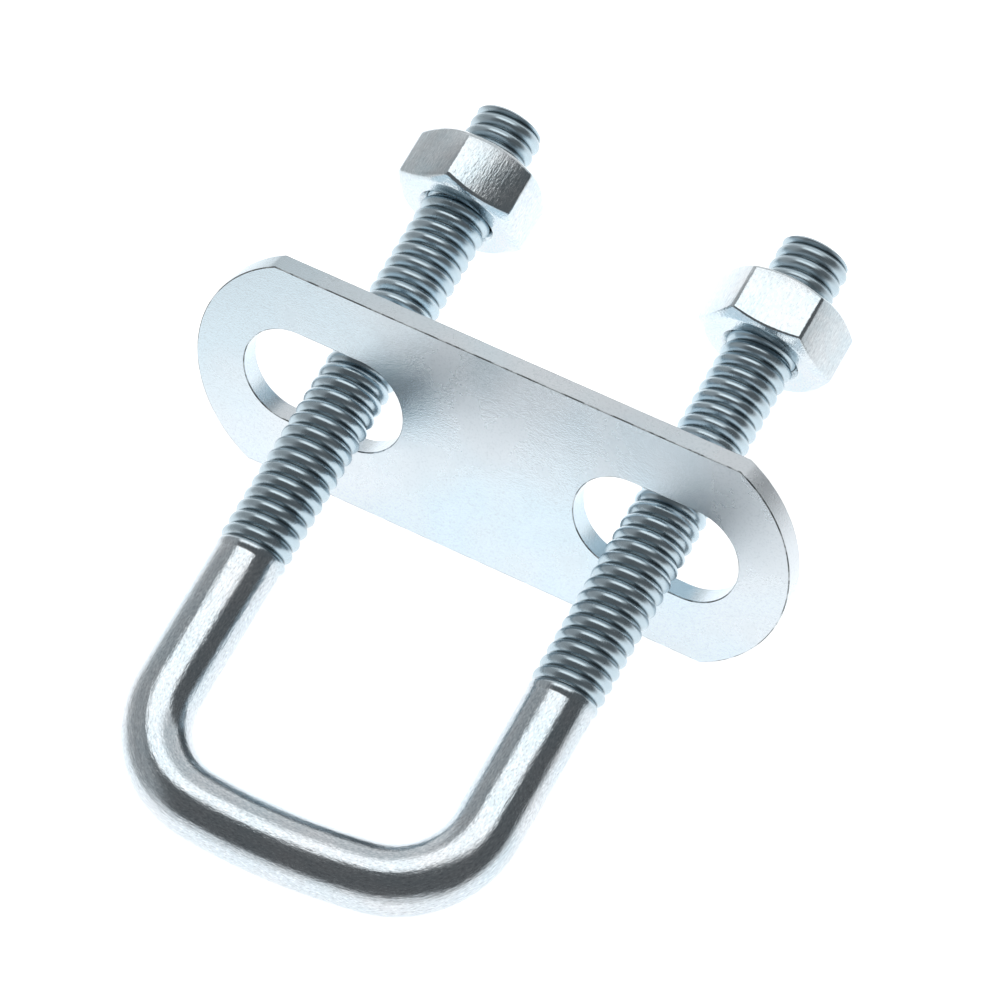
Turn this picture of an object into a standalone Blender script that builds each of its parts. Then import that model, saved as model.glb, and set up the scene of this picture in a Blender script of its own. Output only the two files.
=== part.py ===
"""Square U-bolt with a slotted backing plate and two hexagon nuts, lying on its side.

The pieces are modelled in the bolt's own frame, held by the empty "bolt_frame": X runs across the legs,
Z along the legs towards their ends, and the lowest point of the crossbar's axis is at Z = 0. The empty turns this frame so that
the bolt lies flat, with its legs along world +Y, and the lower edge of the leaning plate on the floor.
"""

import math

import bmesh
import bpy

MM = 0.001

# Bent rod: two legs, two bends and a crossbar bowed outwards, lowest a little left of the middle
SHANK_DIAMETER = 6.0 * MM
INSIDE_WIDTH = 23.5 * MM
INSIDE_LENGTH = 64.0 * MM
BEND_RADIUS = 8.0 * MM
BEND_STEPS = 8
BOW_RADIUS = 60 * MM
BOW_LOW_POINT = -2.4 * MM
BOW_STEPS = 2

# Thread on both legs: 1/4-20 UNC, right-hand, rolled
THREAD_MAJOR = 6.3 * MM
THREAD_MINOR = 4.9 * MM
THREAD_PITCH = 25.4 / 20 * MM
THREADED_LENGTH = 46.3 * MM
CREST_WIDTH = 1 / 8
ROOT_PLACE = 9 / 16
TURN_STEPS = 12
RUN_OUT_TURNS = 1.2
LEG_END_DIAMETER = 5.8 * MM

# Backing plate, which leans against the legs and has slipped sideways in its slots
PLATE_LENGTH = 56.1 * MM
PLATE_WIDTH = 20.6 * MM
PLATE_THICKNESS = 2.05 * MM
PLATE_END_RADIUS = 11.65 * MM
PLATE_END_STEPS = 16
SLOT_LENGTH = 15.3 * MM
SLOT_WIDTH = 9.2 * MM
SLOT_SPACING = 31.65 * MM
SLOT_END_STEPS = 12
PLATE_STATION = 38.3 * MM
PLATE_LEAN = math.radians(28)
PLATE_SLIP = 0.85 * MM

# Hexagon nuts, 1/4 inch
NUT_ACROSS_FLATS = 11.1 * MM
NUT_HEIGHT = 5.5 * MM
NUT_FACE_DIAMETER = 10.3 * MM
NUT_CHAMFER = math.radians(30)
NUT_BORE = 7.0 * MM
NUT_MOUTH = 7.6 * MM
NUT_SIDE_STEPS = 6
NUT_LEFT_STATION = 57.1 * MM
NUT_LEFT_TURN = math.radians(26)
NUT_RIGHT_STATION = 56.5 * MM
NUT_RIGHT_TURN = math.radians(6)

# Derived places in the bolt's frame
SHANK_RADIUS = SHANK_DIAMETER / 2
LEG_X = (INSIDE_WIDTH + SHANK_DIAMETER) / 2
LEG_TOP = SHANK_RADIUS + INSIDE_LENGTH
THREAD_BASE = LEG_TOP - THREADED_LENGTH
AXIS_HEIGHT = PLATE_WIDTH / 2 * math.cos(PLATE_LEAN) + PLATE_THICKNESS / 2 * math.sin(PLATE_LEAN)
MIDDLE_OF_LENGTH = (LEG_TOP - SHANK_RADIUS) / 2


def clear_scene():
    for item in list(bpy.data.objects):
        bpy.data.objects.remove(item, do_unlink=True)


def make_material(name, colour, roughness):
    material = bpy.data.materials.new(name)
    material.use_nodes = True
    shader = material.node_tree.nodes["Principled BSDF"]
    shader.inputs["Base Color"].default_value = (*colour, 1.0)
    shader.inputs["Metallic"].default_value = 1.0
    shader.inputs["Roughness"].default_value = roughness
    return material


def add_object(name, bm, parent, material=None):
    mesh = bpy.data.meshes.new(name)
    bmesh.ops.recalc_face_normals(bm, faces=bm.faces)
    bm.to_mesh(mesh)
    bm.free()
    item = bpy.data.objects.new(name, mesh)
    bpy.context.scene.collection.objects.link(item)
    item.parent = parent
    if material:
        mesh.materials.append(material)
        mesh.shade_smooth()
        mesh.set_sharp_from_angle(angle=math.radians(35))
    return item


def add_bolt_frame():
    frame = bpy.data.objects.new("bolt_frame", None)
    bpy.context.scene.collection.objects.link(frame)
    frame.location = (PLATE_SLIP, -MIDDLE_OF_LENGTH, AXIS_HEIGHT)
    frame.rotation_euler = (math.radians(-90), 0, 0)
    return frame


def join_rings(bm, lower, upper):
    """Quads between two rings of equally many points."""
    count = len(lower)
    for i in range(count):
        j = (i + 1) % count
        bm.faces.new((lower[i], lower[j], upper[j], upper[i]))


# ---------------------------------------------------------------- bent rod


def bar_path():
    """Centre points and directions of the bare rod, from the left thread round to the right thread."""
    quarter = math.pi / 2
    path = []
    for side in (-1, 1):
        lean = math.asin((LEG_X - BEND_RADIUS - side * BOW_LOW_POINT) / (BOW_RADIUS - BEND_RADIUS))
        half = []
        for step in range(BOW_STEPS + 1):
            angle = lean * step / BOW_STEPS
            x = BOW_LOW_POINT + side * BOW_RADIUS * math.sin(angle)
            half.append((x, BOW_RADIUS * (1 - math.cos(angle)), angle))
        centre_z = BOW_RADIUS - (BOW_RADIUS - BEND_RADIUS) * math.cos(lean)
        for step in range(1, BEND_STEPS + 1):
            angle = lean + (quarter - lean) * step / BEND_STEPS
            x = side * (LEG_X - BEND_RADIUS * (1 - math.sin(angle)))
            half.append((x, centre_z - BEND_RADIUS * math.cos(angle), angle))
        half.append((side * LEG_X, THREAD_BASE, quarter))
        ordered = half[:0:-1] if side < 0 else half
        path += [(x, z, math.cos(angle), side * math.sin(angle)) for x, z, angle in ordered]
    return path


def bar_ring(bm, x, z, dir_x, dir_z):
    """A ring round the rod. Its first point lies on the left of the direction of travel, in the XZ plane."""
    ring = []
    for step in range(TURN_STEPS):
        angle = 2 * math.pi * step / TURN_STEPS
        out = SHANK_RADIUS * math.cos(angle)
        ring.append(bm.verts.new((x - dir_z * out, SHANK_RADIUS * math.sin(angle), z + dir_x * out)))
    return ring


def thread_radius(radius, height):
    """A profile radius, faded into the shank at the run-out and cut by the chamfer at the leg's end."""
    fade = min(1, (height - THREAD_BASE) / (RUN_OUT_TURNS * THREAD_PITCH))
    faded = SHANK_RADIUS + (radius - SHANK_RADIUS) * fade
    return min(faded, LEG_END_DIAMETER / 2 + LEG_TOP - height)


def close_helix(bm, ring, edge, step_side):
    """Faces between a flat ring and one turn of a helical edge, whose two ends step_side joins."""
    for i in range(len(ring) - 1):
        bm.faces.new((ring[i], ring[i + 1], edge[i + 1], edge[i]))
    corner = edge[-2]
    side = [ring[-1], ring[0], *step_side]
    for a, b in zip(side, side[1:]):
        bm.faces.new((corner, a, b))


def add_thread(bm, x, base_ring):
    """One leg's thread: crest, crest and root lines wound up the leg, each joined to the next turn."""
    profile = ((0, THREAD_MAJOR / 2), (CREST_WIDTH, THREAD_MAJOR / 2), (ROOT_PLACE, THREAD_MINOR / 2))
    first = THREAD_BASE + THREAD_PITCH / 8
    room = (LEG_TOP - first) / THREAD_PITCH - ROOT_PLACE
    steps = math.floor((room - 0.05) * TURN_STEPS)
    columns = []
    for step in range(steps + 1):
        angle = 2 * math.pi * step / TURN_STEPS
        column = []
        for place, radius in profile:
            height = first + THREAD_PITCH * (step / TURN_STEPS + place)
            r = thread_radius(radius, height)
            column.append(bm.verts.new((x + r * math.cos(angle), r * math.sin(angle), height)))
        columns.append(column)
    for step in range(steps):
        here, beside = columns[step], columns[step + 1]
        for k in range(len(profile) - 1):
            bm.faces.new((here[k], beside[k], beside[k + 1], here[k + 1]))
        if step + TURN_STEPS < steps:
            above, above_beside = columns[step + TURN_STEPS], columns[step + TURN_STEPS + 1]
            bm.faces.new((here[-1], beside[-1], above_beside[0], above[0]))

    lower_edge = [column[0] for column in columns[: TURN_STEPS + 1]]
    close_helix(bm, base_ring, lower_edge, [*columns[0], lower_edge[-1]])
    top_columns = columns[steps - TURN_STEPS :]
    top_edge = [column[-1] for column in top_columns]
    top_ring = []
    for step in range(TURN_STEPS):
        angle = 2 * math.pi * (steps + step) / TURN_STEPS
        r = LEG_END_DIAMETER / 2
        top_ring.append(bm.verts.new((x + r * math.cos(angle), r * math.sin(angle), LEG_TOP)))
    close_helix(bm, top_ring, top_edge, [top_edge[0], *top_columns[-1]])
    bm.faces.new(top_ring)


def add_u_bolt_rod(frame):
    bm = bmesh.new()
    rings = [bar_ring(bm, *stop) for stop in bar_path()]
    for lower, upper in zip(rings, rings[1:]):
        join_rings(bm, lower, upper)
    half = TURN_STEPS // 2
    right_ring = [rings[-1][(half - step) % TURN_STEPS] for step in range(TURN_STEPS)]
    add_thread(bm, -LEG_X, rings[0])
    add_thread(bm, LEG_X, right_ring)
    add_object("u_bolt_rod", bm, frame, make_material("rod_zinc", (0.66, 0.70, 0.74), 0.25))


# ---------------------------------------------------------------- backing plate


def arc_points(centre_x, radius, half_angle, facing, steps):
    """Points of an arc about (centre_x, 0), open to the left or right as facing says, counter-clockwise."""
    points = []
    for step in range(steps + 1):
        angle = -half_angle + 2 * half_angle * step / steps
        points.append((centre_x + facing * radius * math.cos(angle), facing * radius * math.sin(angle)))
    return points


def add_prism(name, outline, thickness, frame, material=None):
    """A flat piece of the given outline, centred on its own XY plane."""
    bm = bmesh.new()
    face = bm.faces.new([bm.verts.new((x, y, -thickness / 2)) for x, y in outline])
    raised = bmesh.ops.extrude_face_region(bm, geom=[face])["geom"]
    top = [item for item in raised if isinstance(item, bmesh.types.BMVert)]
    bmesh.ops.translate(bm, verts=top, vec=(0, 0, thickness))
    return add_object(name, bm, frame, material)


def place_on_plate(item):
    item.location = (-PLATE_SLIP, 0, PLATE_STATION)
    item.rotation_euler = (-PLATE_LEAN, 0, 0)


def add_backing_plate(frame):
    half_angle = math.asin(PLATE_WIDTH / 2 / PLATE_END_RADIUS)
    end_centre = PLATE_LENGTH / 2 - PLATE_END_RADIUS
    outline = []
    for facing in (1, -1):
        outline += arc_points(facing * end_centre, PLATE_END_RADIUS, half_angle, facing, PLATE_END_STEPS)
    material = make_material("plate_zinc", (0.72, 0.77, 0.82), 0.38)
    plate = add_prism("backing_plate", outline, PLATE_THICKNESS, frame, material)
    place_on_plate(plate)

    reach = (SLOT_LENGTH - SLOT_WIDTH) / 2
    for side, name in ((-1, "slot_cutter_left"), (1, "slot_cutter_right")):
        middle = side * SLOT_SPACING / 2
        slot = []
        for facing in (1, -1):
            slot += arc_points(middle + facing * reach, SLOT_WIDTH / 2, math.pi / 2, facing, SLOT_END_STEPS)
        cutter = add_prism(name, slot, 3 * PLATE_THICKNESS, frame)
        place_on_plate(cutter)
        cutter.hide_render = True
        cutter.display_type = "WIRE"
        cut = plate.modifiers.new(name, "BOOLEAN")
        cut.operation = "DIFFERENCE"
        cut.object = cutter


# ---------------------------------------------------------------- nuts


def nut_ring(bm, radius, height):
    """A ring of the nut at a given radius, or following the hexagon where radius is None."""
    ring = []
    count = 6 * NUT_SIDE_STEPS
    for step in range(count):
        angle = 2 * math.pi * step / count
        from_corner = (angle + math.pi / 6) % (math.pi / 3) - math.pi / 6
        across = NUT_ACROSS_FLATS / 2 / math.cos(math.pi / 6 - abs(from_corner))
        drop = max(0, across - NUT_FACE_DIAMETER / 2) * math.tan(NUT_CHAMFER)
        if radius is None:
            z = drop if height == 0 else height - drop
            ring.append(bm.verts.new((across * math.cos(angle), across * math.sin(angle), z)))
        else:
            ring.append(bm.verts.new((radius * math.cos(angle), radius * math.sin(angle), height)))
    return ring


def add_nut(name, x, station, turn, frame):
    """A nut with its bearing face down: hexagon sides, chamfered corners and a countersunk plain bore."""
    bm = bmesh.new()
    sink = (NUT_MOUTH - NUT_BORE) / 2
    stops = (
        (NUT_BORE / 2, NUT_HEIGHT - sink),
        (NUT_MOUTH / 2, NUT_HEIGHT),
        (NUT_FACE_DIAMETER / 2, NUT_HEIGHT),
        (None, NUT_HEIGHT),
        (None, 0),
        (NUT_FACE_DIAMETER / 2, 0),
        (NUT_MOUTH / 2, 0),
        (NUT_BORE / 2, sink),
    )
    rings = [nut_ring(bm, radius, height) for radius, height in stops]
    for ring, following in zip(rings, rings[1:] + rings[:1]):
        join_rings(bm, ring, following)
    nut = add_object(name, bm, frame, make_material(name + "_zinc", (0.68, 0.73, 0.77), 0.28))
    nut.location = (x, 0, station)
    nut.rotation_euler = (0, 0, turn)


clear_scene()
bolt_frame = add_bolt_frame()
add_u_bolt_rod(bolt_frame)
add_backing_plate(bolt_frame)
add_nut("nut_left", -LEG_X, NUT_LEFT_STATION, NUT_LEFT_TURN, bolt_frame)
add_nut("nut_right", LEG_X, NUT_RIGHT_STATION, NUT_RIGHT_TURN, bolt_frame)
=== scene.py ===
"""Looks of the square U-bolt: fine threads, bevelled nuts and plate, zinc plating, studio and camera.

Detailed meshes stand for the CAD nodes. They are modelled in the bolt's own frame, like the CAD: X across the
legs, Z along them, the lowest point of the crossbar's axis at Z = 0. Lengths are in metres.
"""

import math

import bmesh
import bpy
from mathutils import Matrix, Vector


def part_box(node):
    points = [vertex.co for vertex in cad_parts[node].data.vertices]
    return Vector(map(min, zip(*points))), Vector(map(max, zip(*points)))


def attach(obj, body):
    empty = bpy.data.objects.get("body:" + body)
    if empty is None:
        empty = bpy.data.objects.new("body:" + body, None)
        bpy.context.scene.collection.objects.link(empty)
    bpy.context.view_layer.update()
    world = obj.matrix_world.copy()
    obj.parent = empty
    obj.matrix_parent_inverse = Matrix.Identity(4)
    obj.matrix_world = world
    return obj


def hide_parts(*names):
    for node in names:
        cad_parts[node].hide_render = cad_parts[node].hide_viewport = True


MM = 0.001

# Sizes of the real parts
SHANK_RADIUS = 3.0 * MM
LEG_SPACING = 29.5 * MM
LEG_TOP = 67.0 * MM
BEND_RADIUS = 8.0 * MM
BOW_RADIUS = 60 * MM
BOW_LOW_POINT = -2.4 * MM
THREAD_RADIUS = 3.15 * MM
THREAD_ROOT_RADIUS = 2.71 * MM
THREAD_PITCH = 1.27 * MM
THREAD_BASE = 19.7 * MM
THREAD_START = THREAD_BASE + THREAD_PITCH / 16
THREAD_CREST_FLAT = 0.03
THREAD_ROUNDNESS = 2.0
RUN_OUT_START_TURNS = 0.75
RUN_OUT_TURNS = 0.9
LEG_END_RADIUS = 2.85 * MM
PLATE_LENGTH = 56.1 * MM
PLATE_WIDTH = 20.6 * MM
PLATE_THICKNESS = 2.05 * MM
PLATE_END_RADIUS = 11.65 * MM
PLATE_LEAN = math.radians(28)
PLATE_EDGE_BREAK = 0.09 * MM
SLOT_LENGTH = 15.3 * MM
SLOT_WIDTH = 9.2 * MM
SLOT_SPACING = 31.65 * MM
NUT_FLATS = 11.1 * MM
NUT_HEIGHT = 5.5 * MM
NUT_FACE_RADIUS = 5.15 * MM
NUT_CHAMFER_SLOPE = math.tan(math.radians(30))
NUT_CORNER_RADIUS = 0.62 * MM
NUT_FLAT_CROWN = 0.12 * MM
NUT_CORNER_DRAFT = 0.05 * MM
NUT_EDGE_RADII = {"nut_left": 0.26 * MM, "nut_right": 0.15 * MM}
NUT_MOUTH_RADIUS = 3.6 * MM
NUT_MOUTH_SLOPE = 0.9
NUT_BORE_RADIUS = 2.6 * MM
NUT_THREAD_PLAY = 0.05 * MM
NUT_TURNS = {"nut_left": math.radians(26), "nut_right": math.radians(6)}

# Zinc plating: base colours of clean, cloudy, bright and worn spots and of a thread's flanks, and a dark
# colour painted into the thread's roots as shade
ROD_CLEAN, ROD_CLOUDY = (0.50, 0.58, 0.63), (0.57, 0.60, 0.63)
ROD_BRIGHT, ROD_WORN = (0.80, 0.85, 0.88), (0.16, 0.19, 0.22)
FLANK_COLOUR, ROOT_SHADE_COLOUR = (0.44, 0.54, 0.60), (0.15, 0.19, 0.21)
PLATE_CLEAN, PLATE_CLOUDY, PLATE_WORN = (0.56, 0.66, 0.72), (0.63, 0.68, 0.72), (0.42, 0.48, 0.52)
EDGE_DARK, EDGE_BRIGHT = (0.14, 0.155, 0.16), (0.55, 0.6, 0.63)
NUT_CLEAN, NUT_CLOUDY = (0.53, 0.62, 0.67), (0.60, 0.64, 0.67)
NUT_BRIGHT, NUT_WORN = (0.80, 0.86, 0.88), (0.18, 0.21, 0.23)

# Light: how bright the studio and the light table are, and how far the table's glow reaches from the bolt
STUDIO_LEVEL = 1.38
FLOOR_GLOW = 1.05
FLOOR_DIM = 0.12
FLOOR_GLOW_REACH = 75 * MM
FLOOR_GLOW_SOFTNESS = 55 * MM
FLOOR_HALF_SIZE = 3
FLOOR_GREY = (0.8, 0.8, 0.8)
BACKDROP_COLOUR = (0.93, 0.94, 0.95)

# Camera
CAMERA_AZIMUTH, CAMERA_ELEVATION, CAMERA_ROLL = map(math.radians, (40.03, 63.34, -12.72))
CAMERA_TARGET = Vector((2.37, 3.19, 9.58)) * MM
CAMERA_DISTANCE = 455.6 * MM
CAMERA_LENS = 197.8
CAMERA_SENSOR = 36

# Fineness of the meshes
BEND_STEPS = 24
BOW_STEPS = 8
LEG_STEPS = 4
TURN_STEPS = 48
PLATE_END_STEPS = 40
SLOT_END_STEPS = 32
NUT_FLAT_STEPS = 10
NUT_CORNER_STEPS = 6
NUT_HOLE_STEPS = 72

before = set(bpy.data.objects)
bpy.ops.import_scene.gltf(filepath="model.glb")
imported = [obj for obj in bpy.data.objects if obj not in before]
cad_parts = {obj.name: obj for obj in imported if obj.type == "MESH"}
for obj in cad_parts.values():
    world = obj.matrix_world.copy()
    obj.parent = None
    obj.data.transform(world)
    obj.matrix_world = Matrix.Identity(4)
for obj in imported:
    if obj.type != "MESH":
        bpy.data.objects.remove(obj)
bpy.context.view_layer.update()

rod_low, rod_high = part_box("u_bolt_rod")
BOLT_FRAME = Matrix.Translation(
    ((rod_low.x + rod_high.x) / 2, rod_low.y + SHANK_RADIUS, (rod_low.z + rod_high.z) / 2)
) @ Matrix.Rotation(math.radians(-90), 4, "X")
LEG_X = LEG_SPACING / 2


# ---------------------------------------------------------------- node materials


def new_material(name, colour, roughness):
    """A metallic material with its node tree and its shader."""
    material = bpy.data.materials.new(name)
    material.use_nodes = True
    tree = material.node_tree
    shader = tree.nodes["Principled BSDF"]
    shader.inputs["Metallic"].default_value = 1.0
    shader.inputs["Roughness"].default_value = roughness
    shader.inputs["Base Color"].default_value = (*colour, 1.0)
    return material, tree, shader


def add_node(tree, kind, settings=None, **sockets):
    """A node with its sockets set to values, or linked where the value is another socket."""
    node = tree.nodes.new(kind)
    for key, value in (settings or {}).items():
        setattr(node, key, value)
    for key, value in sockets.items():
        socket = node.inputs[key.replace("_", " ")]
        if isinstance(value, bpy.types.NodeSocket):
            tree.links.new(value, socket)
        else:
            socket.default_value = value
    return node


def object_place(tree):
    return add_node(tree, "ShaderNodeTexCoord").outputs["Object"]


def straight_place(tree):
    """Places on the rod as if its bar were straight: across it in X and Y, along it in Z."""
    return add_node(tree, "ShaderNodeAttribute", {"attribute_name": "straight_place"}).outputs["Vector"]


def stretched_noise(tree, stretch, scale, detail, place=None):
    """Noise over the object's own coordinates or another place, stretched along X, Y and Z."""
    mapping = add_node(tree, "ShaderNodeMapping", Vector=place or object_place(tree), Scale=stretch)
    noise = add_node(
        tree, "ShaderNodeTexNoise", Vector=mapping.outputs["Vector"], Scale=scale, Detail=detail, Roughness=0.6
    )
    return noise.outputs["Fac"]


def remap(tree, value, low, high, to_low, to_high):
    """A value mapped from low..high to to_low..to_high, and held at those ends."""
    node = tree.nodes.new("ShaderNodeMapRange")
    tree.links.new(value, node.inputs["Value"])
    for key, number in (("From Min", low), ("From Max", high), ("To Min", to_low), ("To Max", to_high)):
        node.inputs[key].default_value = number
    return node.outputs["Result"]


def mix_colours(tree, factor, first, second):
    """The first colour at 0 and the second at 1, where any of the three may be a socket."""
    node = tree.nodes.new("ShaderNodeMix")
    node.data_type = "RGBA"
    for socket, value in ((node.inputs[0], factor), (node.inputs[6], first), (node.inputs[7], second)):
        if isinstance(value, bpy.types.NodeSocket):
            tree.links.new(value, socket)
        elif socket.type == "RGBA":
            socket.default_value = (*value, 1.0)
        else:
            socket.default_value = value
    return node.outputs[2]


def combine(tree, operation, a, b):
    """The result of a Math node on two values, each a number or a socket."""
    node = add_node(tree, "ShaderNodeMath", {"operation": operation})
    for socket, value in zip(node.inputs, (a, b)):
        if isinstance(value, bpy.types.NodeSocket):
            tree.links.new(value, socket)
        else:
            socket.default_value = value
    return node.outputs[0]


def multiply(tree, a, b):
    return combine(tree, "MULTIPLY", a, b)


def add_bump(tree, height, strength, distance, normal=None):
    node = add_node(tree, "ShaderNodeBump", Height=height, Strength=strength, Distance=distance)
    if normal:
        tree.links.new(normal, node.inputs["Normal"])
    return node.outputs["Normal"]


def thread_root_shade(tree):
    """1 in the thread's roots, which are darkened as painted shade, and 0 on its flanks and crests."""
    flat = add_node(tree, "ShaderNodeVectorMath", {"operation": "MULTIPLY"})
    tree.links.new(straight_place(tree), flat.inputs[0])
    flat.inputs[1].default_value = (1, 1, 0)
    radius = add_node(tree, "ShaderNodeVectorMath", {"operation": "LENGTH"}, Vector=flat.outputs["Vector"])
    deep, shallow = THREAD_ROOT_RADIUS + 0.02 * MM, THREAD_ROOT_RADIUS + 0.14 * MM
    return remap(tree, radius.outputs["Value"], deep, shallow, 1, 0)


def zinc_rod():
    """Bright drawn wire: speckled by the plating's fine grain, with faint lines along the bar."""
    material, tree, shader = new_material("zinc_rod", (0.53, 0.59, 0.63), 0.16)
    place = straight_place(tree)
    height = add_node(tree, "ShaderNodeSeparateXYZ", Vector=object_place(tree)).outputs["Z"]
    threaded = remap(tree, height, THREAD_BASE + THREAD_PITCH, THREAD_BASE + 2 * THREAD_PITCH, 0, 1)
    cloud = stretched_noise(tree, (1, 1, 0.6), 240, 4, place)
    speck = stretched_noise(tree, (1, 1, 0.4), 7500, 1, place)
    colour = mix_colours(tree, remap(tree, cloud, 0.35, 0.7, 0, 1), ROD_CLEAN, ROD_CLOUDY)
    colour = mix_colours(tree, remap(tree, speck, 0.46, 0.34, 0, 0.4), colour, ROD_BRIGHT)
    colour = mix_colours(tree, remap(tree, speck, 0.58, 0.68, 0, 0.28), colour, ROD_WORN)
    # the thread's roots are mixed towards a dark colour here: painted shade in the grooves
    flank_colour_with_root_shade = mix_colours(tree, thread_root_shade(tree), FLANK_COLOUR, ROOT_SHADE_COLOUR)
    tree.links.new(mix_colours(tree, threaded, colour, flank_colour_with_root_shade), shader.inputs["Base Color"])
    grain = stretched_noise(tree, (1, 1, 0.35), 4200, 3, place)
    lines = stretched_noise(tree, (1, 1, 0.1), 2600, 3, place)
    bumped = add_bump(tree, grain, remap(tree, threaded, 0, 1, 0.85, 0.25), 0.022 * MM)
    bumped = add_bump(tree, lines, remap(tree, threaded, 0, 1, 0.7, 0.1), 0.02 * MM, bumped)
    tree.links.new(bumped, shader.inputs["Normal"])
    cloudy = remap(tree, cloud, 0.3, 0.7, 0.1, 0.22)
    rolled = remap(tree, threaded, 0, 1, 0, 0.12)
    tree.links.new(combine(tree, "ADD", cloudy, rolled), shader.inputs["Roughness"])
    return material


def zinc_plate():
    """Satin rolled sheet: fine grain, soft clouds in the plating and faint brushing along it."""
    material, tree, shader = new_material("zinc_plate", (0.56, 0.62, 0.67), 0.3)
    cloud = stretched_noise(tree, (1, 1, 1), 120, 5)
    patch = stretched_noise(tree, (1, 1, 1), 60, 2)
    speck = stretched_noise(tree, (1, 1, 1), 5200, 2)
    colour = mix_colours(tree, remap(tree, patch, 0.4, 0.62, 0, 1), PLATE_CLEAN, PLATE_CLOUDY)
    colour = mix_colours(tree, remap(tree, speck, 0.52, 0.72, 0, 0.35), colour, PLATE_WORN)
    tree.links.new(colour, shader.inputs["Base Color"])
    grain = stretched_noise(tree, (1, 1, 1), 7500, 2)
    brushed = stretched_noise(tree, (0.1, 1, 1), 1800, 3)
    bumped = add_bump(tree, grain, 0.9, 0.015 * MM)
    bumped = add_bump(tree, brushed, 0.15, 0.03 * MM, bumped)
    tree.links.new(bumped, shader.inputs["Normal"])
    tree.links.new(remap(tree, cloud, 0.3, 0.7, 0.2, 0.32), shader.inputs["Roughness"])
    return material


def sheared_edge():
    """The plate's broken edges: thin dark plating with bright worn spots."""
    material, tree, shader = new_material("sheared_edge", (0.3, 0.32, 0.34), 0.35)
    wear = stretched_noise(tree, (1, 1, 1), 700, 4)
    colour = mix_colours(tree, remap(tree, wear, 0.46, 0.58, 0, 1), EDGE_DARK, EDGE_BRIGHT)
    tree.links.new(colour, shader.inputs["Base Color"])
    grain = stretched_noise(tree, (1, 1, 1), 5000, 2)
    tree.links.new(add_bump(tree, grain, 0.8, 0.03 * MM), shader.inputs["Normal"])
    return material


def zinc_nut():
    """Bright plated nut: fine grain, and streaks along the flats from drawing."""
    material, tree, shader = new_material("zinc_nut", (0.55, 0.61, 0.65), 0.14)
    cloud = stretched_noise(tree, (1, 1, 1), 320, 4)
    speck = stretched_noise(tree, (1, 1, 0.4), 6000, 1)
    colour = mix_colours(tree, remap(tree, cloud, 0.35, 0.7, 0, 1), NUT_CLEAN, NUT_CLOUDY)
    colour = mix_colours(tree, remap(tree, speck, 0.45, 0.33, 0, 0.35), colour, NUT_BRIGHT)
    colour = mix_colours(tree, remap(tree, speck, 0.58, 0.68, 0, 0.18), colour, NUT_WORN)
    tree.links.new(colour, shader.inputs["Base Color"])
    grain = stretched_noise(tree, (1, 1, 0.5), 5500, 2)
    streaks = stretched_noise(tree, (1, 1, 0.05), 1900, 4)
    bumped = add_bump(tree, grain, 0.7, 0.02 * MM)
    bumped = add_bump(tree, streaks, 0.6, 0.03 * MM, bumped)
    tree.links.new(bumped, shader.inputs["Normal"])
    tree.links.new(remap(tree, cloud, 0.3, 0.7, 0.08, 0.18), shader.inputs["Roughness"])
    return material


# ---------------------------------------------------------------- meshes


def add_piece(name, bm, place, material, node, body, sharp=40):
    """A finished piece that stands for a CAD node and rides on its body."""
    mesh = bpy.data.meshes.new(name)
    bmesh.ops.recalc_face_normals(bm, faces=bm.faces)
    bm.to_mesh(mesh)
    bm.free()
    mesh.materials.append(material)
    mesh.shade_smooth()
    mesh.set_sharp_from_angle(angle=math.radians(sharp))
    piece = bpy.data.objects.new(name, mesh)
    bpy.context.scene.collection.objects.link(piece)
    piece.matrix_world = place
    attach(piece, body)
    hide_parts(node)
    return piece


def join_rings(bm, lower, upper):
    count = len(lower)
    for i in range(count):
        j = (i + 1) % count
        bm.faces.new((lower[i], lower[j], upper[j], upper[i]))


def bar_path():
    """Centre points, directions and distances of the bare rod, from the left thread round to the right one."""
    quarter = math.pi / 2
    points = []
    for side in (-1, 1):
        lean = math.asin((LEG_X - BEND_RADIUS - side * BOW_LOW_POINT) / (BOW_RADIUS - BEND_RADIUS))
        half = []
        for step in range(BOW_STEPS + 1):
            angle = lean * step / BOW_STEPS
            x = BOW_LOW_POINT + side * BOW_RADIUS * math.sin(angle)
            half.append((x, BOW_RADIUS * (1 - math.cos(angle)), angle))
        centre_z = BOW_RADIUS - (BOW_RADIUS - BEND_RADIUS) * math.cos(lean)
        for step in range(1, BEND_STEPS + 1):
            angle = lean + (quarter - lean) * step / BEND_STEPS
            x = side * (LEG_X - BEND_RADIUS * (1 - math.sin(angle)))
            half.append((x, centre_z - BEND_RADIUS * math.cos(angle), angle))
        for step in range(1, LEG_STEPS + 1):
            half.append((side * LEG_X, centre_z + (THREAD_BASE - centre_z) * step / LEG_STEPS, quarter))
        ordered = half[:0:-1] if side < 0 else half
        points += [(x, z, math.cos(angle), side * math.sin(angle)) for x, z, angle in ordered]
    path = []
    along = 0
    for i, (x, z, dir_x, dir_z) in enumerate(points):
        if i:
            along += math.dist(points[i - 1][:2], (x, z))
        path.append((x, z, dir_x, dir_z, along))
    return path


def bar_ring(bm, layer, x, z, dir_x, dir_z, along):
    """One ring of the bare bar; the layer keeps each point's place on the bar as if it were straight."""
    ring = []
    for step in range(TURN_STEPS):
        angle = 2 * math.pi * step / TURN_STEPS
        out, up = SHANK_RADIUS * math.cos(angle), SHANK_RADIUS * math.sin(angle)
        vert = bm.verts.new((x - dir_z * out, up, z + dir_x * out))
        vert[layer] = (out, up, along)
        ring.append(vert)
    return ring


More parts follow.
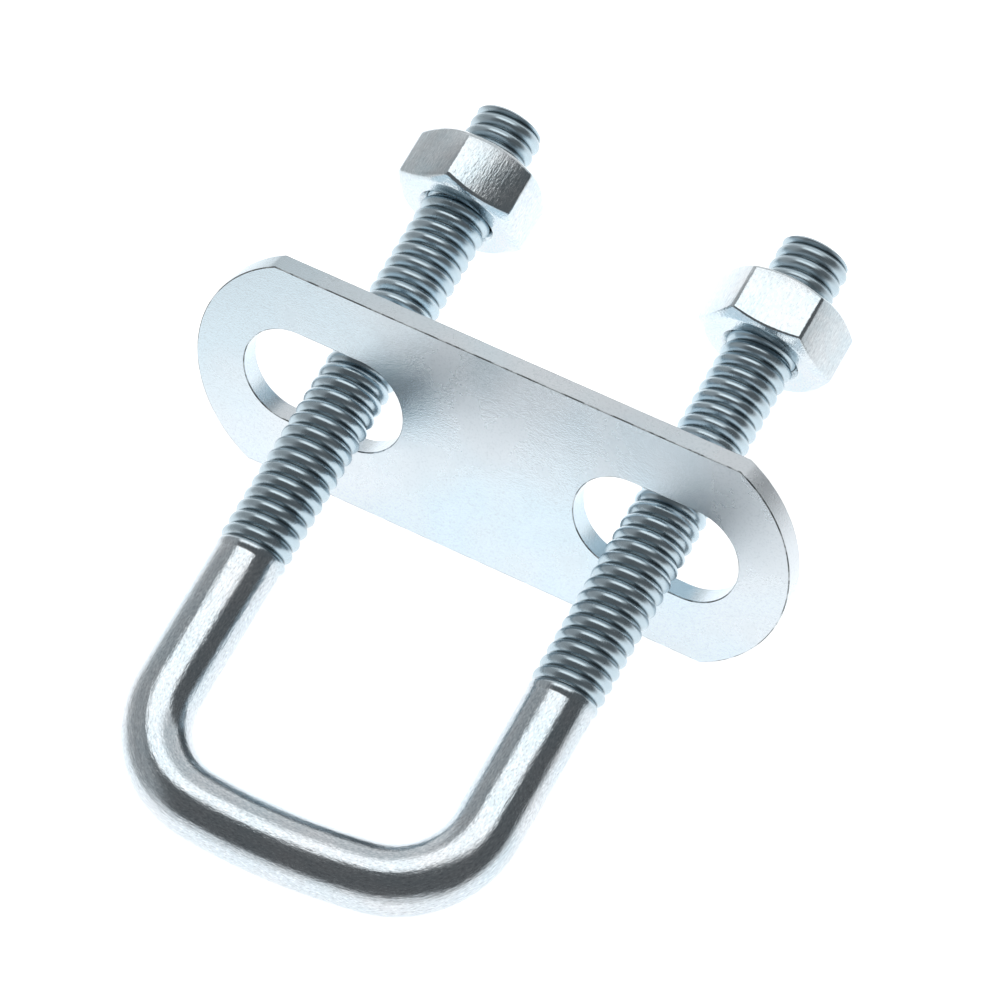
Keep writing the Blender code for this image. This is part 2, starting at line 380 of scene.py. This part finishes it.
def thread_radius(place, height):
    """Rolled thread: broad rounded crests and narrow roots, faded at the run-out, cut at the leg's end."""
    from_crest = abs(2 * (place % 1) - 1)
    rise = 1 - max(0, (from_crest - THREAD_CREST_FLAT) / (1 - THREAD_CREST_FLAT)) ** THREAD_ROUNDNESS
    radius = THREAD_ROOT_RADIUS + (THREAD_RADIUS - THREAD_ROOT_RADIUS) * rise
    turns = (height - THREAD_BASE) / THREAD_PITCH
    fade = min(1, max(0, (turns - RUN_OUT_START_TURNS) / RUN_OUT_TURNS))
    faded = SHANK_RADIUS + (radius - SHANK_RADIUS) * fade
    return min(faded, LEG_END_RADIUS + LEG_TOP - height)


def close_helix(bm, ring, edge, step_side):
    """Faces between a flat ring and one turn of a helical edge, whose two ends step_side joins."""
    for i in range(len(ring) - 1):
        bm.faces.new((ring[i], ring[i + 1], edge[i + 1], edge[i]))
    corner = edge[-2]
    side = [ring[-1], ring[0], *step_side]
    for a, b in zip(side, side[1:]):
        bm.faces.new((corner, a, b))


def thread_places():
    """Where the lines of one turn's profile lie, closer together at the root."""
    half = (0.012, 0.035, 0.07, 0.12, 0.18, 0.25, 0.32, 0.38, 0.43, 0.47)
    return [*half, *(1 - place for place in reversed(half))]


def add_thread(bm, layer, side, base_ring, base_along):
    """One leg's thread, wound up the leg as lines of a profile, each turn joined to the next."""

    def add_point(angle, r, height):
        x, y = r * math.cos(angle), r * math.sin(angle)
        vert = bm.verts.new((side * LEG_X + x, y, height))
        vert[layer] = (-side * x, y, base_along + side * (height - THREAD_BASE))
        return vert

    places = thread_places()
    steps = math.floor(((LEG_TOP - THREAD_START) / THREAD_PITCH - 1) * TURN_STEPS)
    columns = []
    for step in range(steps + 1):
        angle = 2 * math.pi * step / TURN_STEPS
        column = []
        for place in places:
            height = THREAD_START + THREAD_PITCH * (step / TURN_STEPS + place)
            column.append(add_point(angle, thread_radius(place, height), height))
        columns.append(column)
    for step in range(steps):
        here, beside = columns[step], columns[step + 1]
        for k in range(len(places) - 1):
            bm.faces.new((here[k], beside[k], beside[k + 1], here[k + 1]))
        if step + TURN_STEPS < steps:
            above, above_beside = columns[step + TURN_STEPS], columns[step + TURN_STEPS + 1]
            bm.faces.new((here[-1], beside[-1], above_beside[0], above[0]))

    lower_edge = [column[0] for column in columns[: TURN_STEPS + 1]]
    close_helix(bm, base_ring, lower_edge, [*columns[0], lower_edge[-1]])
    top_ring = []
    for step in range(TURN_STEPS):
        angle = 2 * math.pi * (steps + step) / TURN_STEPS
        place = (LEG_TOP - THREAD_START) / THREAD_PITCH - angle / (2 * math.pi)
        top_ring.append(add_point(angle, thread_radius(place, LEG_TOP), LEG_TOP))
    last = columns[-1]
    start = columns[steps - TURN_STEPS][-1].co.z
    shares = [(vert.co.z - start) / (LEG_TOP - start) for vert in last]
    strips = []
    for step in range(TURN_STEPS):
        column = columns[steps - TURN_STEPS + step]
        angle = 2 * math.pi * (steps + step) / TURN_STEPS
        bottom = column[-1].co.z
        strip = [column[-1]]
        for share in shares:
            height = bottom + (LEG_TOP - bottom) * share
            place = (height - THREAD_START) / THREAD_PITCH - angle / (2 * math.pi)
            strip.append(add_point(angle, thread_radius(place, height), height))
        strips.append([*strip, top_ring[step]])
    for vert in strips[0][1:-1]:
        bm.verts.remove(vert)
    strips[0][1:-1] = last
    for here, beside in zip(strips, strips[1:]):
        for k in range(len(here) - 1):
            bm.faces.new((here[k], beside[k], beside[k + 1], here[k + 1]))
    end = strips[-1]
    for k in range(len(end) - 1):
        bm.faces.new((end[k], last[-1], end[k + 1]))
    bm.faces.new((end[-1], last[-1], top_ring[0]))
    bm.faces.new(top_ring)


def build_rod(material):
    """The bare bar as rings along its path, with a thread joined to each of its ends."""
    bm = bmesh.new()
    layer = bm.verts.layers.float_vector.new("straight_place")
    path = bar_path()
    rings = [bar_ring(bm, layer, *stop) for stop in path]
    for lower, upper in zip(rings, rings[1:]):
        join_rings(bm, lower, upper)
    half = TURN_STEPS // 2
    right_ring = [rings[-1][(half - step) % TURN_STEPS] for step in range(TURN_STEPS)]
    add_thread(bm, layer, -1, rings[0], 0)
    add_thread(bm, layer, 1, right_ring, path[-1][-1])
    add_piece("rod", bm, BOLT_FRAME, material, "u_bolt_rod", "rod")


def arc_points(centre_x, radius, half_angle, facing, steps):
    """Points of an arc that faces +X or -X, in the order of a loop that runs anticlockwise."""
    points = []
    for step in range(steps + 1):
        angle = -half_angle + 2 * half_angle * step / steps
        points.append((centre_x + facing * radius * math.cos(angle), facing * radius * math.sin(angle)))
    return points


def build_plate(material, burr):
    """The plate: its outline and slots as edge loops, filled, extruded and with its edges broken."""
    half_angle = math.asin(PLATE_WIDTH / 2 / PLATE_END_RADIUS)
    end_centre = PLATE_LENGTH / 2 - PLATE_END_RADIUS
    reach = (SLOT_LENGTH - SLOT_WIDTH) / 2
    loops = [[]]
    for facing in (1, -1):
        loops[0] += arc_points(facing * end_centre, PLATE_END_RADIUS, half_angle, facing, PLATE_END_STEPS)
    for side in (-1, 1):
        slot = []
        for facing in (1, -1):
            centre = side * SLOT_SPACING / 2 + facing * reach
            slot += arc_points(centre, SLOT_WIDTH / 2, math.pi / 2, facing, SLOT_END_STEPS)
        loops.append(slot)
    bm = bmesh.new()
    edges = []
    for loop in loops:
        verts = [bm.verts.new((x, y, -PLATE_THICKNESS / 2)) for x, y in loop]
        edges += [bm.edges.new((a, b)) for a, b in zip(verts, verts[1:] + verts[:1])]
    filled = bmesh.ops.triangle_fill(bm, edges=edges, use_beauty=True)["geom"]
    faces = [item for item in filled if isinstance(item, bmesh.types.BMFace)]
    raised = bmesh.ops.extrude_face_region(bm, geom=faces)["geom"]
    top = [item for item in raised if isinstance(item, bmesh.types.BMVert)]
    bmesh.ops.translate(bm, verts=top, vec=(0, 0, PLATE_THICKNESS))
    bmesh.ops.recalc_face_normals(bm, faces=bm.faces)
    bmesh.ops.dissolve_limit(bm, angle_limit=math.radians(1), verts=bm.verts, edges=bm.edges)
    plate_low, plate_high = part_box("backing_plate")
    middle = (plate_low + plate_high) / 2
    place = Matrix.Translation(middle) @ Matrix.Rotation(math.radians(-90) - PLATE_LEAN, 4, "X")
    plate = add_piece("plate", bm, place, material, "backing_plate", "plate", 30)
    plate.data.materials.append(burr)
    bevel = plate.modifiers.new("broken_edges", "BEVEL")
    bevel.width = PLATE_EDGE_BREAK
    bevel.segments = 3
    bevel.limit_method = "ANGLE"
    bevel.angle_limit = math.radians(40)
    bevel.harden_normals = True
    bevel.material = 1


def hexagon_outline():
    """Angles and radii round the nut, with its corners rounded."""
    outline = []
    inner = (NUT_FLATS / 2 - NUT_CORNER_DRAFT - NUT_CORNER_RADIUS) / math.cos(math.pi / 6)
    sixth = math.pi / 3
    for corner in range(6):
        middle = corner * sixth
        arc = []
        for step in range(NUT_CORNER_STEPS + 1):
            turned = middle - sixth / 2 + sixth * step / NUT_CORNER_STEPS
            x = inner * math.cos(middle) + NUT_CORNER_RADIUS * math.cos(turned)
            y = inner * math.sin(middle) + NUT_CORNER_RADIUS * math.sin(turned)
            arc.append((x, y))
        outline += arc
        after = middle + sixth / 2
        x0, y0 = arc[-1]
        length = inner
        for step in range(1, NUT_FLAT_STEPS):
            share = step / NUT_FLAT_STEPS
            out = 4 * NUT_FLAT_CROWN * share * (1 - share)
            along = length * share
            outline.append(
                (
                    x0 - math.sin(after) * along + math.cos(after) * out,
                    y0 + math.cos(after) * along + math.sin(after) * out,
                )
            )
    return [(math.atan2(y, x), math.hypot(x, y)) for x, y in outline]


def build_nut(name, node, body, material):
    """A chamfered nut: rounded corners, worn edges, countersunk mouths and a thread that fits the leg's."""
    bm = bmesh.new()
    outline = hexagon_outline()
    low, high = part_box(node)
    station = low.y - BOLT_FRAME.translation.y
    turn = NUT_TURNS[node]
    edge = NUT_EDGE_RADII[node]

    def ring(point):
        """Vertices at the radius and height that point gives for each angle of the outline."""
        verts = []
        for angle, outer in outline:
            r, z = point(angle, outer)
            verts.append(bm.verts.new((r * math.cos(angle), r * math.sin(angle), z)))
        return verts

    def outside(end, up, cut, lift):
        """A point near the chamfer's outer edge: cut inwards along the chamfer, or lifted down the flat."""

        def point(angle, outer):
            drop = max(0, outer - NUT_FACE_RADIUS - cut) * NUT_CHAMFER_SLOPE
            return outer - cut, end + up * (drop + lift)

        return point

    def across(end, up, share):
        """A point part of the way over the chamfer."""

        def point(angle, outer):
            r = NUT_FACE_RADIUS + (outer - edge - NUT_FACE_RADIUS) * share
            return r, end + up * max(0, r - NUT_FACE_RADIUS) * NUT_CHAMFER_SLOPE

        return point

    def hole(z):
        """The tapped hole's radius at a height, where the countersinks cut the thread away."""

        def point(angle, outer):
            place = (station + z - THREAD_START) / THREAD_PITCH - (angle + turn) / (2 * math.pi)
            tapped = thread_radius(place % 1, (THREAD_BASE + LEG_TOP) / 2) + NUT_THREAD_PLAY
            depth = min(z, NUT_HEIGHT - z)
            cone = NUT_MOUTH_RADIUS - depth * NUT_MOUTH_SLOPE
            return max(tapped, cone, NUT_BORE_RADIUS), z

        return point

    def end_rows(end, up):
        """Rings from the hole's mouth across one face and its chamfer, round the worn edge, to the flats."""
        return [
            ring(lambda angle, outer: (NUT_MOUTH_RADIUS + 0.1 * MM, end)),
            ring(lambda angle, outer: (NUT_FACE_RADIUS - 0.1 * MM, end)),
            ring(across(end, up, 0.1)),
            ring(across(end, up, 0.4)),
            ring(across(end, up, 0.7)),
            ring(outside(end, up, edge, 0)),
            ring(outside(end, up, edge * 0.45, edge * 0.08)),
            ring(outside(end, up, edge * 0.12, edge * 0.35)),
            ring(outside(end, up, 0, edge)),
        ]

    inside = [ring(hole(NUT_HEIGHT * step / NUT_HOLE_STEPS)) for step in range(NUT_HOLE_STEPS, -1, -1)]
    chain = end_rows(0, 1) + end_rows(NUT_HEIGHT, -1)[::-1] + inside
    for a, b in zip(chain, chain[1:] + chain[:1]):
        join_rings(bm, a, b)
    on_leg = Matrix.Translation(((low.x + high.x) / 2 - BOLT_FRAME.translation.x, 0, station))
    place = BOLT_FRAME @ on_leg @ Matrix.Rotation(turn, 4, "Z")
    add_piece(name, bm, place, material, node, body, 50)


# ---------------------------------------------------------------- studio


def window(tree, value, low, high, soft):
    """1 between low and high, 0 outside, with soft steps."""
    rise = tree.nodes.new("ShaderNodeMapRange")
    fall = tree.nodes.new("ShaderNodeMapRange")
    for node, edge, start in ((rise, low, 0), (fall, high, 1)):
        node.interpolation_type = "SMOOTHSTEP"
        tree.links.new(value, node.inputs["Value"])
        node.inputs["From Min"].default_value = edge - soft
        node.inputs["From Max"].default_value = edge + soft
        node.inputs["To Min"].default_value = start
        node.inputs["To Max"].default_value = 1 - start
    return multiply(tree, rise.outputs["Result"], fall.outputs["Result"])


def build_floor():
    """A pale light table, brightest round the bolt and towards the crossbar's side."""
    bm = bmesh.new()
    bmesh.ops.create_grid(bm, x_segments=1, y_segments=1, size=FLOOR_HALF_SIZE)
    mesh = bpy.data.meshes.new("floor")
    bm.to_mesh(mesh)
    bm.free()
    floor = bpy.data.objects.new("floor", mesh)
    bpy.context.scene.collection.objects.link(floor)
    material = bpy.data.materials.new("floor")
    material.use_nodes = True
    tree = material.node_tree
    shader = tree.nodes["Principled BSDF"]
    shader.inputs["Base Color"].default_value = (*FLOOR_GREY, 1)
    shader.inputs["Roughness"].default_value = 0.9
    shader.inputs["Specular IOR Level"].default_value = 0.0
    x, y, _ = add_node(tree, "ShaderNodeSeparateXYZ", Vector=object_place(tree)).outputs
    flat = add_node(tree, "ShaderNodeCombineXYZ", X=x, Y=combine(tree, "MAXIMUM", y, multiply(tree, y, -0.3)))
    far = add_node(tree, "ShaderNodeVectorMath", {"operation": "LENGTH"})
    tree.links.new(flat.outputs["Vector"], far.inputs[0])
    glow = window(tree, far.outputs["Value"], -1, FLOOR_GLOW_REACH, FLOOR_GLOW_SOFTNESS)
    lit = remap(tree, glow, 0, 1, FLOOR_DIM, FLOOR_GLOW)
    seen = add_node(tree, "ShaderNodeLightPath").outputs["Is Camera Ray"]
    tree.links.new(mix_colours(tree, seen, lit, FLOOR_GREY), shader.inputs["Emission Color"])
    shader.inputs["Emission Strength"].default_value = 1.0
    mesh.materials.append(material)


def build_world():
    """A dim studio by direction: grey on the left and behind, one large soft box, a low glow in front."""
    world = bpy.data.worlds.new("studio")
    bpy.context.scene.world = world
    world.use_nodes = True
    tree = world.node_tree
    direction = add_node(tree, "ShaderNodeTexCoord").outputs["Generated"]
    x, y, z = add_node(tree, "ShaderNodeSeparateXYZ", Vector=direction).outputs

    def lit(level, warmth=0.0):
        return [STUDIO_LEVEL * level * (1 + share * warmth) for share in (1, 0, -1)]

    left = window(tree, x, -2, -0.6, 0.12)
    low_left = multiply(tree, left, window(tree, z, -2, 0.14, 0.12))
    behind = multiply(tree, window(tree, y, 0.5, 2, 0.12), window(tree, x, -2, 0.47, 0.08))
    low_behind = multiply(tree, behind, window(tree, z, -2, 0.35, 0.15))
    overhead = multiply(tree, window(tree, x, -0.53, 0.46, 0.08), window(tree, y, 0.03, 0.57, 0.09))
    soft_box = multiply(tree, overhead, window(tree, z, 0.3, 2, 0.1))
    low_front = multiply(tree, window(tree, y, -2, -0.7, 0.15), window(tree, z, -2, 0.17, 0.16))

    colour = mix_colours(tree, left, lit(0.105, -0.02), lit(0.33))
    colour = mix_colours(tree, low_left, colour, lit(0.5))
    colour = mix_colours(tree, behind, colour, lit(0.56))
    colour = mix_colours(tree, low_behind, colour, lit(0.7, 0.01))
    colour = mix_colours(tree, soft_box, colour, lit(1.22, 0.015))
    colour = mix_colours(tree, low_front, colour, lit(0.95))
    seen = add_node(tree, "ShaderNodeLightPath").outputs["Is Camera Ray"]
    colour = mix_colours(tree, seen, colour, BACKDROP_COLOUR)
    tree.links.new(colour, tree.nodes["Background"].inputs["Color"])


def build_camera():
    """A long lens, high and to the right on the crossbar's side, rolled so that the legs lean."""
    flat = math.cos(CAMERA_ELEVATION)
    back = Vector(
        (math.sin(CAMERA_AZIMUTH) * flat, -math.cos(CAMERA_AZIMUTH) * flat, math.sin(CAMERA_ELEVATION))
    )
    data = bpy.data.cameras.new("camera")
    data.lens = CAMERA_LENS
    data.sensor_width = CAMERA_SENSOR
    data.clip_start = 0.01
    data.clip_end = 20
    camera = bpy.data.objects.new("camera", data)
    bpy.context.scene.collection.objects.link(camera)
    camera.location = CAMERA_TARGET + back * CAMERA_DISTANCE
    turn = (-back).to_track_quat("-Z", "Y").to_matrix() @ Matrix.Rotation(CAMERA_ROLL, 3, "Z")
    camera.rotation_euler = turn.to_euler()
    bpy.context.scene.camera = camera


nut_material = zinc_nut()
build_rod(zinc_rod())
build_plate(zinc_plate(), sheared_edge())
build_nut("left_hex_nut", "nut_left", "left_nut", nut_material)
build_nut("right_hex_nut", "nut_right", "right_nut", nut_material)
build_floor()
build_world()
build_camera()
bpy.context.scene.view_settings.view_transform = "Standard"
